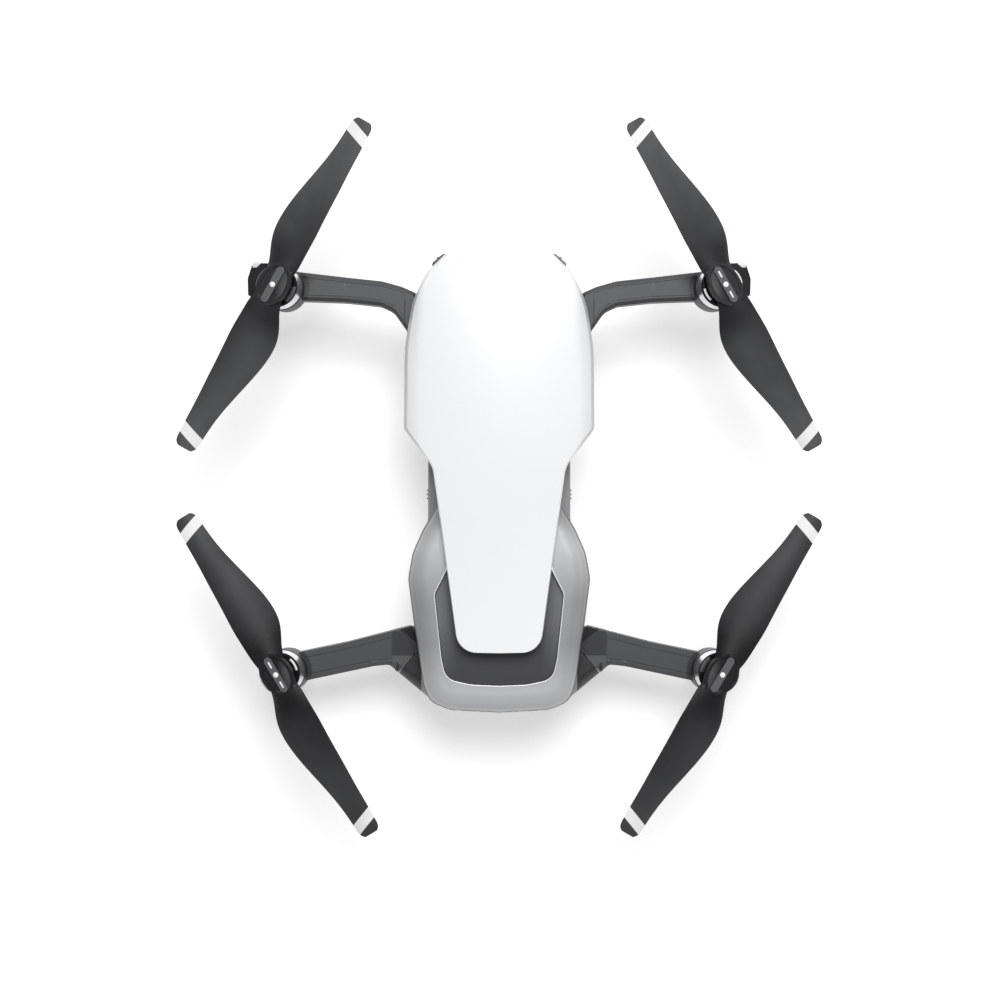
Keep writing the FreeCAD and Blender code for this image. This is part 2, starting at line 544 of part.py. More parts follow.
def blade_section(station):
    """One lens-shaped blade section: distance out, leading and trailing edge offsets, pitch, thickness."""
    s, lead, trail, pitch, thick = station
    chord = lead + trail
    slope = tan(radians(pitch))
    middle = (trail - lead) / 2
    height = BLADE_Z - 0.18 * chord * slope
    front = Vec(s, -lead, height + chord / 2 * slope)
    back = Vec(s, trail, height - chord / 2 * slope)
    thickest = chord * 0.12  # ahead of the middle of the chord
    camber = height + thickest * slope + chord * 0.02
    above = Vec(s, middle - thickest, camber + thick * 0.75)
    below = Vec(s, middle - thickest, camber - thick * 0.45)
    return Part.Wire([Part.Arc(front, above, back).toShape(), Part.Arc(back, below, front).toShape()])


BLADE_STATIONS = [
    (2.0, 4.6, 4.8, 6, 2.4), (7.3, 5.0, 6.4, 9, 2.2), (11.8, 5.2, 8.6, 13.5, 1.9),
    (16.3, 5.2, 10.3, 16.5, 1.6), (20.9, 5.2, 10.9, 17.5, 1.4), (26.8, 4.9, 10.6, 17, 1.25),
    (32.9, 4.6, 9.6, 15.5, 1.15), (40.8, 4.3, 7.9, 14, 1.05), (49.2, 3.9, 6.2, 12.5, 0.95),
    (57.7, 3.7, 5.2, 11, 0.85), (63.2, 3.5, 4.9, 10, 0.8), (65.8, 3.0, 4.3, 9, 0.75),
    (66.9, 1.8, 3.2, 8, 0.65),
]


def oval(half_length, half_width, z0, z1):
    """An oval disc, its edge made of arcs through points on an ellipse."""
    arcs = 8
    angles = [pi / arcs * i for i in range(2 * arcs + 1)]
    points = [Vec(half_length * cos(angle), half_width * sin(angle), z0) for angle in angles]
    edges = [Part.Arc(*points[i:i + 3]).toShape() for i in range(0, 2 * arcs, 2)]
    return Part.Face(Part.Wire(edges)).extrude(Z * (z1 - z0))


def rounded_bar(half_length, half_width, z0, z1):
    """A bar along X with round ends."""
    middle = half_length - half_width
    ends = [cylinder(half_width, z1 - z0, Vec(x, 0, z0)) for x in (-middle, middle)]
    return box(-middle, middle, -half_width, half_width, z0, z1).fuse(ends)


def make_propeller():
    """A one-piece propeller that turns clockwise seen from above, made along its own X axis."""
    blade = Part.makeLoft([blade_section(station) for station in BLADE_STATIONS], True, False)
    other = blade.copy()
    other.rotate(Vec(0, 0, 0), Z, 180)
    hub = oval(8.3, 5.6, MOUNT_TOP, HUB_TOP - 0.6)
    dish = oval(7.1, 4.5, HUB_TOP - 1.0, HUB_TOP)
    bar = rounded_bar(7.1, 1.4, HUB_TOP - 1.4, HUB_TOP)
    return hub.fuse([blade, other]).cut(dish).fuse(bar)


def pose_propeller(front, side, clockwise):
    turn = 90 - (FRONT_PROP_ANGLE if front else REAR_PROP_ANGLE)
    prop = make_propeller()
    if not clockwise:
        prop = prop.mirror(Vec(0, 0, 0), X)
        turn = -turn
    prop.rotate(Vec(0, 0, 0), Z, turn)
    return set_motor(prop, front, side)


# ---------------------------------------- camera gimbal
def make_damper_plate():
    half = [(0, -61.6), (14.6, -61.6, 2.5), (14.6, -49.8, 2.5), (0, -49.8)]
    return prism(both_halves(half), 34.7, 35.9)


def make_damper(x, y):
    lower = cylinder(2.1, 0.9, Vec(x, y, 35.9))
    upper = cylinder(2.1, 0.9, Vec(x, y, 37.6))
    return lower.fuse([upper, cylinder(1.5, 2.6, Vec(x, y, 35.9))])


def make_yaw_arm():
    disc = cylinder(4.4, 1.3, Vec(0, YAW_AXIS_Y, 29.5))
    drop = box(-3.4, 3.4, YAW_AXIS_Y + 0.4, YAW_AXIS_Y + 5.0, 19.8, 30.0)
    back = cylinder(5.0, 1.6, Vec(0, YAW_AXIS_Y, CAMERA.z), Y)
    return disc.fuse([drop, back]).removeSplitter()


def make_roll_arm():
    y1 = YAW_AXIS_Y - 4.6
    plate = cylinder(4.9, 1.4, Vec(0, y1 - 1.4, CAMERA.z), Y)
    cross = box(0, 13.6, y1 - 1.4, y1, CAMERA.z - 3.6, CAMERA.z + 3.6)
    side = box(11.8, 13.6, CAMERA.y - 4.6, y1, CAMERA.z - 3.6, CAMERA.z + 3.6)
    tip = cylinder(4.6, 1.8, Vec(11.8, CAMERA.y, CAMERA.z), X)
    return plate.fuse([cross, side, tip]).removeSplitter()


def make_camera():
    half_y, half_z = 7.5, 7.2
    x0, x1 = -9.4, 7.9
    outline = [Vec(x0, CAMERA.y + dy, CAMERA.z + dz) for dy, dz in
               ((-half_y, -half_z), (half_y, -half_z), (half_y, half_z), (-half_y, half_z))]
    body = Part.Face(Part.makePolygon(outline + outline[:1])).extrude(X * (x1 - x0))
    along_x = [edge for edge in body.Edges if abs(edge.tangentAt(edge.FirstParameter).x) > 0.9]
    body = body.makeFillet(3.2, along_x)
    body = body.makeFillet(0.8, [edge for edge in body.Edges if edge.Curve.TypeId == "Part::GeomCircle"])
    nose = cylinder(5.6, 1.4, Vec(-0.8, CAMERA.y - half_y - 1.2, CAMERA.z), Y)
    socket = cylinder(4.7, 3.0, Vec(-0.8, CAMERA.y - half_y - 1.3, CAMERA.z), Y)
    return body.fuse(nose).cut(socket)


# ---------------------------------------- battery
def make_battery_case():
    layers = [(1.8, BELLY_Z), (0.5, BELLY_Z + 1.2), (0, BELLY_Z + 2.8), (0, BATTERY_FLANGE_TOP)]
    flange = stack(both_halves(BATTERY_HALF), layers)
    core = prism(shrunk(both_halves(BAY_HALF), 0.3), BATTERY_FLANGE_TOP - 1, BATTERY_TOP)
    room = box(-17.2, 17.2, -26, 64, BELLY_Z + 3.4, BATTERY_TOP - 1.3)
    pockets = both_sides(box(20.6, 30, BUCKLE_Y0, BUCKLE_Y1, 13.8, 20.4))
    button = cylinder(4.5, 1.9, Vec(0, BUTTON_Y, BELLY_Z))
    marks = [cylinder(0.7, 0.5, Vec(x, BUTTON_Y + 9, BELLY_Z)) for x in (-4.5, -1.5, 1.5, 4.5)]
    body = flange.fuse(core).removeSplitter().cut([room, button] + pockets + marks)
    return body.cut(box(-8.5, 8.5, 50.2, 55.2, BATTERY_TOP - 3, BATTERY_TOP + 1))


def make_battery_board():
    """The pack's protection board, with the blades that meet the drone's connector."""
    board = box(-16, 16, 50.6, 63.4, 16.6, 17.8)
    chips = [box(x - 3, x + 3, 56.5, 61.5, 17.8, 19.4) for x in (-10, 0, 10)]
    return board.fuse(chips + [box(-6.5, 6.5, 52.0, 53.4, 17.8, 26.6)])


def make_buckle():
    body = box(22.4, 25.9, BUCKLE_Y0 + 0.3, BUCKLE_Y1 - 0.3, 14.1, 20.1)
    middle = (BUCKLE_Y0 + BUCKLE_Y1) / 2
    thumb_piece = box(25.7, 26.6, middle - 2.1, middle + 2.1, 14.8, 19.4)
    ridges = [box(26.4, 27.2, middle + y - 0.35, middle + y + 0.35, 15.2, 19.0) for y in (-1.5, 0, 1.5)]
    return body.fuse([thumb_piece] + ridges)


# ---------------------------------------- write every piece
FOLDED_REAR_MOTOR = folded_rear_motor()


def screw(x, y):
    head = cylinder(1.6, 0.7, Vec(x, y, TUB_FLOOR_Z + 0.25))
    return head.cut(cylinder(0.7, 0.4, Vec(x, y, TUB_FLOOR_Z + 0.2)))


def front_pin():
    return cylinder(PIN_R, 18.4, FRONT_PIVOT + Z * 27.0)


def rear_pin():
    return cylinder(PIN_R, 18.6, REAR_PIVOT - REAR_AXIS * 9.4, REAR_AXIS)


def make_port_block():
    """The charging and card sockets behind the side cover."""
    block = box(-26.0, -24.1, PORT_Y0 + 0.3, PORT_Y1 - 0.3, 22.6, 29.7)
    port = box(-28, -25.0, 38.2, 43.6, 24.2, 27.0)
    slot = box(-28, -25.0, 44.9, 47.2, 23.4, 29.0)
    return block.cut([port, slot])


def make_port_cover():
    """The hinged cover over the sockets, with its pin in one piece."""
    y0, y1 = PORT_Y0 + 0.25, PORT_Y1 - 0.25
    plate = box(-29.0, -27.8, y0, y1, 22.4, 29.7)
    roll = cylinder(0.8, y1 - y0, Vec(PORT_HINGE_X, y0, PORT_HINGE_Z), Y)
    pin = cylinder(0.6, PORT_Y1 - PORT_Y0 + 1.4, Vec(PORT_HINGE_X, PORT_Y0 - 0.7, PORT_HINGE_Z), Y)
    return plate.fuse([roll, pin]).removeSplitter()


def write_body():
    export("top_shell", make_top_shell())
    export("lower_shell", make_lower_shell())
    export("rear_cowl", make_rear_cowl())
    export("deck_panel", make_deck())
    export("nose_housing", make_nose_housing())
    export("front_lenses", *both_sides(lens(Vec(20.2, -80.4, 38.2), -Y, 2.8)))
    export("rear_lenses", *both_sides(lens(Vec(15.0, REAR_LENS_Y - 2.0, 37.9), Y, 2.3)))
    lower = both_sides(lens(Vec(11.0, SENSOR_Y, TUB_FLOOR_Z + 1.2), -Z, 2.6))
    lower += both_sides(cylinder(1.8, 0.9, Vec(3.4, SENSOR_Y, TUB_FLOOR_Z + 0.2)))
    export("downward_lenses", *lower)
    export("status_light", box(-2.4, 2.4, 82.8, 84.9, 37.8, 40.0))
    export("hinge_pins", *(both_sides(front_pin()) + both_sides(rear_pin())))
    export("screws", *[screw(x, y) for x, y in SCREWS])
    export("main_board", make_main_board())
    export("power_board", make_power_board())
    export("heat_sink", make_heat_sink())
    export("fan_housing", make_fan_housing())
    export("positioning_antenna", box(-12, 12, -42, -22, 45.6, 46.4).fuse(box(-9, 9, -41, -23, 46.4, 47.3)))
    export("battery_connector", box(-8.2, 8.2, 50.4, 55.0, 27.2, 33.6).cut(box(-7, 7, 51.4, 54.0, 25, 30)))
    export("port_block", make_port_block())
    export("port_cover", make_port_cover())
    export("fan_rotor", make_fan_rotor())


def write_gimbal():
    export("damper_plate", make_damper_plate())
    export("gimbal_dampers", *[make_damper(x, y) for x in (-11.6, 11.6) for y in (-59.0, -52.4)])
    export("yaw_motor", cylinder(5.4, 3.7, Vec(0, YAW_AXIS_Y, 31.0)))
    export("yaw_arm", make_yaw_arm())
    export("roll_motor", cylinder(4.8, 4.5, Vec(0, YAW_AXIS_Y - 4.5, CAMERA.z), Y))
    export("roll_arm", make_roll_arm())
    export("tilt_motor", cylinder(4.2, 3.6, Vec(8.2, CAMERA.y, CAMERA.z), X))
    export("camera_body", make_camera())
    export("camera_lens", lens(Vec(-0.8, CAMERA.y - 5.9, CAMERA.z), -Y, 4.6))


def write_battery():
    export("battery_case", make_battery_case())
    export("battery_cells", *[box(-16.9, 16.9, y, y + 24.6, 15.8, 28.1) for y in (-25.6, -0.6, 24.4)])
    export("battery_board", make_battery_board())
    export("left_buckle", make_buckle())
    export("right_buckle", mirrored(make_buckle()))
    export("power_button", cylinder(4.2, 1.2, Vec(0, BUTTON_Y, BELLY_Z - 0.2)))


def write_arms():
    """Each left piece is made once and mirrored. Propellers on a diagonal turn the same way."""
    pieces = {
        "front": {"arm": make_front_arm(), "light": make_front_light(), "leg": make_leg(),
                  "foot": foot_pad(88.6, 91.0, LEG_PIVOT.y - 3.4, LEG_PIVOT.y + 3.6)},
        "rear": {"arm": make_rear_arm(), "foot": foot_pad(74.4, 81.0, 69.6, 73.0)},
    }
    for end, front in (("front", True), ("rear", False)):
        pieces[end]["stator"] = set_motor(make_stator(), front)
        pieces[end]["bell"] = Part.makeCompound([set_motor(body, front) for body in make_bell()])
        pieces[end]["propeller"] = pose_propeller(front, 1, front)
        for kind, shape in pieces[end].items():
            export("%s_left_%s" % (end, kind), shape)
            export("%s_right_%s" % (end, kind), mirrored(shape))


write_body()
write_gimbal()
write_battery()
write_arms()
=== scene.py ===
"""Looks for the folding quadcopter: materials, fine pieces, floor, lights and camera."""

import json
from math import cos, pi, radians, sin

import bmesh
import bpy
from mathutils import Matrix, Vector
from mathutils.bvhtree import BVHTree


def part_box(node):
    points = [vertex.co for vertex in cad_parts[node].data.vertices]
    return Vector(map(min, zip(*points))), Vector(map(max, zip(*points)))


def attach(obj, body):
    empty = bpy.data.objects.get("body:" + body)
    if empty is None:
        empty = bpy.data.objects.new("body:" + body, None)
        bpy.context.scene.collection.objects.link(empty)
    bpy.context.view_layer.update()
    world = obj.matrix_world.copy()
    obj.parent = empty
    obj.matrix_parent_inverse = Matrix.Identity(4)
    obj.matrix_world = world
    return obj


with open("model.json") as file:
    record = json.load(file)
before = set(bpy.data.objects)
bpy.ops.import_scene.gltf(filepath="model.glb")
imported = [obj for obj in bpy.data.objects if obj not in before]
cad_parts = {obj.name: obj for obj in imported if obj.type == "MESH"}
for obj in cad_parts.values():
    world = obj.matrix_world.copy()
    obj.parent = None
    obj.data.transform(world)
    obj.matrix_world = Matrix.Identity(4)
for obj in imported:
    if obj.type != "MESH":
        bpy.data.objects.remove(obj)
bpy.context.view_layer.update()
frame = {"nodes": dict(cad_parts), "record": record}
NODES = frame["nodes"]

MM = 0.001
X_AXIS, Y_AXIS, Z_AXIS = (1, 0, 0), (0, 1, 0), (0, 0, 1)
SIDES = (("left", 1), ("right", -1))
ENDS = ("front", "rear")
WELD_GAP = 0.002 * MM

# Motors and propellers; heights run along the motor's axis from its base.
CANT = radians(6.0)
MOTOR_BASE = {"front": Vector((78.4, -69.8, 38.0)) * MM, "rear": Vector((78.4, 70.6, 27.0)) * MM}
PROP_ANGLE = {"front": radians(30.0), "rear": radians(31.8)}
# Propeller colours are scaled per end as painted light: lighter on the front blades, darker on the rear
# ones.
PROP_PAINTED_LIGHT = {"front": 1.2, "rear": 0.72}
HUB_TOP, BELL_TOP = 24.0 * MM, 17.8 * MM

# Raised marks on the hubs and motor caps.
DOT_R, DASH_PLACE, DASH_HALF, DASH_HALF_WIDTH = 0.97 * MM, 4.1 * MM, 1.35 * MM, 0.32 * MM
ARC_R = {"inboard": 6.5 * MM, "outboard": 7.05 * MM}
ARC_HALF_WIDTH, ARC_HALF_TURN = 0.42 * MM, radians(21.0)
PAD_R, PAD_HALF_WIDTH, PAD_HALF_TURN = 6.4 * MM, 0.85 * MM, radians(27.0)
MARK_HEIGHT, MARK_SINK, MARK_TAPER = 0.05 * MM, 0.01 * MM, 0.96

# Where colours change: each pair is where a change begins and where it is complete.
CUP_EDGE = (8.8 * MM, 9.4 * MM)
BRACKET_X, BRACKET_Y = (84.6 * MM, 84.7 * MM), (-65.5 * MM, -65.0 * MM)
FRONT_SEAM_X, FRONT_SEAM_EDGE, FRONT_SEAM_Y = 34.5 * MM, (0.15 * MM, 0.35 * MM), (-66.0 * MM, -65.5 * MM)
REAR_SEAM_X, REAR_STEP_Y = (39.5 * MM, 39.7 * MM), (64.9 * MM, 65.1 * MM)
REAR_LOBE, REAR_LOBE_EDGE = (35.6 * MM, 63.0 * MM), (10.4 * MM, 10.6 * MM)
HINGE_X, HINGE_Y = (28.8 * MM, 29.0 * MM), (60.0 * MM, 60.2 * MM)
DECK_SIDE_X, DECK_FADE_Y = (15.0 * MM, 22.5 * MM), (52.0 * MM, 72.0 * MM)
# These place the cowl's painted highlights at the back and front, and its painted shadow along the lower
# edge.
COWL_BACK_Y, COWL_SHADOW_Z = (60.0 * MM, 80.0 * MM), (43.6 * MM, 44.5 * MM)
COWL_FRONT_Y, COWL_SHOULDER_Y = (12.0 * MM, 24.0 * MM), (22.0 * MM, 44.0 * MM)
# These place the shell's painted shade on the wing sides and its painted light along its length.
WING_X, WING_Z = (27.0 * MM, 30.0 * MM), (51.2 * MM, 53.6 * MM)
SHELL_NOSE_Y, SHELL_TAIL_Y = (-60.0 * MM, -10.0 * MM), (0.0, 60.0 * MM)
BAND_INNER, BAND_OUTER, BAND_SKEW = (59.2 * MM, 59.4 * MM), (63.4 * MM, 63.6 * MM), -0.35
# The leading-edge and tip distances set where the painted sheen on the blades begins.
LEAD_EDGE, LEAD_START, TIP_SHEEN = (-6.0 * MM, 5.0 * MM), (12.0 * MM, 20.0 * MM), (18.0 * MM, 62.0 * MM)
HUB_FACE = (HUB_TOP - 0.3 * MM, HUB_TOP - 0.2 * MM)
BAR_END, BAR_SIDE = (7.6 * MM, 7.8 * MM), (1.5 * MM, 1.6 * MM)
DISH_LOW = (HUB_TOP - 1.1 * MM, HUB_TOP - 1.05 * MM)
DISH_HIGH = (HUB_TOP - 0.9 * MM, HUB_TOP - 0.85 * MM)
DISH_END, DISH_INBOARD, DISH_FADE = (7.2 * MM, 7.3 * MM), (0.5 * MM, 3.5 * MM), (1.6 * MM, 5.2 * MM)
CAP_EDGE = (BELL_TOP - 0.7 * MM, BELL_TOP - 0.6 * MM)

# The bright lip round the deck: a polished bead that stands in for the highlight along the cowl's inner
# edge.
LIP_OFFSET, LIP_RADIUS, LIP_SINK = 0.32 * MM, 0.24 * MM, 0.04 * MM
LIP_SLICE, LIP_START_Y, LIP_RAY_Z = 0.3 * MM, 28.0 * MM, 200.0 * MM

# Softened edges, by material slot.
SHELL_BEVEL, SHELL_SEGMENTS = 0.9 * MM, 5
EDGE_DEFAULT, SHARP_ANGLE = 0.25 * MM, radians(35.0)
EDGE_WIDTH = {"arm_grey": 0.5 * MM, "body_grey": 0.4 * MM, "battery_grey": 0.5 * MM, "cowl_grey": 0.2 * MM,
              "motor_silver": 0.15 * MM, "copper_stator": 0.1 * MM, "lens_glass": 0.08 * MM,
              "board_green": 0.1 * MM, "propeller_black": 0.12 * MM, "deck_charcoal": 0.2 * MM,
              "camera_grey": 0.3 * MM}

# Studio, in metres and watts: each light's name, place, diameter and power.
LIGHTS = (("key", (-0.10, -0.60, 1.35), 0.75, 15.3), ("side", (-1.1, -0.1, 0.8), 0.8, 1.2))
SKY, FLOOR_GLOW, FLOOR_SIZE = 0.38, 0.41, 40.0
CAMERA_HEIGHT, CAMERA_LENS, CAMERA_SENSOR, CAMERA_SHIFT = 0.803, 74.8, 36.0, (0.0008, -0.02)


# ------------------------------------------------------------------ materials
class Graph:
    """Short calls for building one material's nodes."""

    def __init__(self, name):
        self.material = bpy.data.materials.new(name)
        self.material.use_nodes = True
        self.tree = self.material.node_tree
        self.shader = self.tree.nodes["Principled BSDF"]
        self.coords = self.tree.nodes.new("ShaderNodeTexCoord").outputs["Object"]
        self.tone = None

    def link(self, value, socket):
        if isinstance(value, bpy.types.NodeSocket):
            self.tree.links.new(value, socket)
        else:
            socket.default_value = value

    def set(self, **values):
        for name, value in values.items():
            self.link(value, self.shader.inputs[name.replace("_", " ")])

    def noise(self, scale, detail, roughness=0.5, vector=None):
        node = self.tree.nodes.new("ShaderNodeTexNoise")
        self.link(vector or self.coords, node.inputs["Vector"])
        node.inputs["Scale"].default_value = scale
        node.inputs["Detail"].default_value = detail
        node.inputs["Roughness"].default_value = roughness
        return node.outputs["Fac"]

    def math(self, operation, *values):
        node = self.tree.nodes.new("ShaderNodeMath")
        node.operation = operation
        for value, socket in zip(values, node.inputs):
            self.link(value, socket)
        return node.outputs[0]

    def span(self, value, low, high, to_low=0.0, to_high=1.0):
        node = self.tree.nodes.new("ShaderNodeMapRange")
        for entry, socket in zip((value, low, high, to_low, to_high), node.inputs):
            self.link(entry, socket)
        return node.outputs["Result"]

    def mix(self, fac, a, b):
        node = self.tree.nodes.new("ShaderNodeMix")
        node.data_type = "RGBA"
        self.link(fac, node.inputs["Factor"])
        for value, key in ((a, 6), (b, 7)):
            if not isinstance(value, bpy.types.NodeSocket):
                value = tuple(value) + (1.0,) if len(value) == 3 else value
            self.link(value, node.inputs[key])
        return node.outputs[2]

    def rising(self, value, edge):
        """0 before the edge and 1 past it."""
        return self.span(value, *edge)

    def falling(self, value, edge):
        """1 before the edge and 0 past it."""
        return self.span(value, *edge, 1.0, 0.0)

    def both(self, first, second):
        return self.math("MULTIPLY", first, second)

    def sideways(self):
        """Distance out from the middle plane, on either side."""
        return self.math("ABSOLUTE", self.dot(X_AXIS))

    def away(self, centre):
        """Distance in plan from an upright line, and from its twin on the other side."""
        x = self.math("POWER", self.math("SUBTRACT", self.sideways(), centre[0]), 2.0)
        y = self.math("POWER", self.math("SUBTRACT", self.dot(Y_AXIS), centre[1]), 2.0)
        return self.math("SQRT", self.math("ADD", x, y))

    def dot(self, direction, offset=(0, 0, 0)):
        shift = self.tree.nodes.new("ShaderNodeVectorMath")
        shift.operation = "SUBTRACT"
        self.link(self.coords, shift.inputs[0])
        shift.inputs[1].default_value = offset
        node = self.tree.nodes.new("ShaderNodeVectorMath")
        node.operation = "DOT_PRODUCT"
        self.link(shift.outputs[0], node.inputs[0])
        node.inputs[1].default_value = direction
        return node.outputs["Value"]

    def bump(self, height, strength, distance):
        node = self.tree.nodes.new("ShaderNodeBump")
        node.inputs["Strength"].default_value = strength
        node.inputs["Distance"].default_value = distance
        self.link(height, node.inputs["Height"])
        self.link(node.outputs["Normal"], self.shader.inputs["Normal"])


def shade(color, factor):
    return tuple(channel * factor for channel in color)


def moulded(name, color, roughness, grain, grain_depth, variation, coat=0.0, metallic=0.0, flake=0.0):
    """Moulded or painted plastic: fine spark-eroded grain, faint mottling and slightly uneven gloss."""
    g = Graph(name)
    mottling = g.noise(45.0, 4.0)
    fine = g.noise(grain, 2.0, 0.6)
    tone = g.mix(mottling, shade(color, 1 - variation), shade(color, 1 + variation))
    if flake:
        sparkle = g.span(g.noise(16000.0, 1.0), 0.45, 0.62)
        tone = g.mix(g.math("MULTIPLY", sparkle, flake), tone, shade(color, 1.8))
    unevenness = g.math("ADD", mottling, g.math("MULTIPLY", fine, 0.5))
    rough = g.span(unevenness, 0.3, 1.2, roughness - 0.05, roughness + 0.07)
    g.tone = tone
    g.set(Base_Color=tone, Roughness=rough, Metallic=metallic, Coat_Weight=coat, Coat_Roughness=0.2)
    g.bump(fine, 0.35, grain_depth)
    return g


def metal(name, color, roughness, brushed=None):
    """Machined or coated metal, with turning marks along one direction where brushed is given."""
    g = Graph(name)
    mottling = g.noise(60.0, 4.0)
    fine = g.noise(5200.0, 2.0)
    if brushed is not None:
        fine = g.noise(1.0, 2.0, vector=stretched(g, brushed))
    tone = g.mix(mottling, shade(color, 0.93), shade(color, 1.05))
    rough = g.span(fine, 0.25, 0.75, roughness - 0.06, roughness + 0.08)
    g.set(Base_Color=tone, Roughness=rough, Metallic=1.0)
    g.bump(fine, 0.3, 0.00002)
    return g


def stretched(g, scale):
    node = g.tree.nodes.new("ShaderNodeMapping")
    g.link(g.coords, node.inputs["Vector"])
    node.inputs["Scale"].default_value = scale
    return node.outputs[0]


def make_materials():
    """The plain materials: colour and roughness; then grain, its depth, variation and coat, or brushing."""
    plastics = {
        "print_white": ((0.9, 0.9, 0.89), 0.5, 6000.0, 0.00001, 0.02),
        "body_grey": ((0.29, 0.294, 0.30), 0.5, 8000.0, 0.00004, 0.04),
        "gloss_black": ((0.012, 0.012, 0.014), 0.14, 6000.0, 0.000005, 0.1, 0.6),
        "black_plastic": ((0.022, 0.022, 0.024), 0.5, 8000.0, 0.00005, 0.1),
        "lamp_clear": ((0.78, 0.8, 0.82), 0.22, 4000.0, 0.00001, 0.02, 0.5),
        "board_green": ((0.012, 0.09, 0.045), 0.35, 2500.0, 0.00005, 0.2, 0.3),
        "ceramic_tan": ((0.5, 0.42, 0.32), 0.6, 5000.0, 0.00006, 0.06),
        "soft_rubber": ((0.03, 0.03, 0.03), 0.75, 5000.0, 0.00008, 0.15),
        "camera_grey": ((0.06, 0.062, 0.067), 0.32, 9000.0, 0.00002, 0.05),
        "battery_grey": ((0.27, 0.275, 0.285), 0.52, 8000.0, 0.00005, 0.04),
        "button_grey": ((0.16, 0.165, 0.17), 0.4, 8000.0, 0.00003, 0.05),
        "foot_rubber": ((0.025, 0.025, 0.026), 0.8, 4000.0, 0.0001, 0.2),
        "cap_pad": ((0.055, 0.056, 0.058), 0.5, 9000.0, 0.00003, 0.1),
        "leg_grey": ((0.020, 0.0205, 0.022), 0.45, 9000.0, 0.00004, 0.08),
    }
    metals = {
        "polished": ((0.93, 0.935, 0.94), 0.5),
        "steel": ((0.5, 0.5, 0.51), 0.3),
        "heat_sink_metal": ((0.55, 0.56, 0.58), 0.42),
        "gimbal_metal": ((0.16, 0.165, 0.175), 0.38),
        "motor_black": ((0.03, 0.03, 0.032), 0.36),
        "cell_foil": ((0.3, 0.31, 0.33), 0.4),
        "copper_stator": ((0.055, 0.042, 0.036), 0.36, (900, 900, 5000)),
    }
    made = {name: moulded(name, *recipe) for name, recipe in plastics.items()}
    made.update({name: metal(name, *recipe) for name, recipe in metals.items()})
    glass = Graph("lens_glass")
    tint = glass.mix(glass.noise(900.0, 2.0), (0.004, 0.005, 0.012), (0.012, 0.01, 0.02))
    glass.set(Base_Color=tint, Roughness=0.05, Coat_Weight=1.0, Coat_Roughness=0.03, IOR=1.6)
    made["lens_glass"] = glass
    return {slot: graph.material for slot, graph in made.items()}


def motor_frame(end, side):
    """Base point, axis and blade direction of one motor, in metres."""
    base = MOTOR_BASE[end].copy()
    base.x *= side
    axis = Vector((sin(CANT) * side, 0, cos(CANT)))
    turn = PROP_ANGLE[end] if (end == "front") == (side > 0) else -PROP_ANGLE[end]
    along = Vector((sin(turn), cos(turn), 0))
    along.rotate(Matrix.Rotation(CANT * side, 3, "Y"))
    return base, axis, along


def arm_material(end):
    """Painted arm: at the front a black leg bracket, at the rear a black root block and a paler wedge; the
    front arms' paint is darker than the rear's as painted shade.
    """
    # The front paint is darker than the rear paint as painted shade.
    paint = (0.048, 0.050, 0.053) if end == "front" else (0.060, 0.062, 0.066)
    g = moulded("arm_%s" % end, paint, 0.42, 10000.0, 0.00003, 0.08, metallic=0.15, flake=0.15)
    x, y = g.sideways(), g.dot(Y_AXIS)
    tone = g.mix(g.falling(g.away(MOTOR_BASE[end]), CUP_EDGE), g.tone, (0.022, 0.0225, 0.024))
    if end == "front":
        bracket = g.both(g.rising(x, BRACKET_X), g.falling(y, BRACKET_Y))
        tone = g.mix(bracket, tone, (0.010, 0.010, 0.011))
        g.set(Specular_IOR_Level=g.span(bracket, 0.0, 1.0, 0.5, 0.12))
        seam = g.falling(g.math("ABSOLUTE", g.math("SUBTRACT", x, FRONT_SEAM_X)), FRONT_SEAM_EDGE)
        tone = g.mix(g.both(seam, g.rising(y, FRONT_SEAM_Y)), tone, (0.02, 0.02, 0.022))
    else:
        root = g.falling(x, REAR_SEAM_X)
        behind = g.rising(y, REAR_STEP_Y)
        ahead = g.math("SUBTRACT", 1.0, behind)
        wedge = g.both(g.both(root, behind), g.falling(g.away(REAR_LOBE), REAR_LOBE_EDGE))
        tone = g.mix(g.both(root, ahead), tone, (0.028, 0.029, 0.031))
        tone = g.mix(wedge, tone, (0.085, 0.087, 0.091))
    g.set(Base_Color=tone)
    return g.material


def hull_material():
    """Grey body paint; the hinge housings at the corners of the tail are black."""
    g = moulded("hull_grey", (0.29, 0.294, 0.30), 0.5, 8000.0, 0.00004, 0.04)
    corner = g.both(g.rising(g.sideways(), HINGE_X), g.rising(g.dot(Y_AXIS), HINGE_Y))
    g.set(Base_Color=g.mix(corner, g.tone, (0.022, 0.0225, 0.024)))
    return g.material


def deck_material():
    """Charcoal deck, which catches more light towards its sides."""
    g = moulded("deck_shaded", (0.030, 0.031, 0.034), 0.46, 9000.0, 0.00004, 0.06)
    forward = g.span(g.dot(Y_AXIS), *DECK_FADE_Y, 1.0, 0.15)
    lit = g.both(g.rising(g.sideways(), DECK_SIDE_X), forward)
    g.set(Base_Color=g.mix(lit, g.tone, (0.150, 0.153, 0.160)))
    return g.material


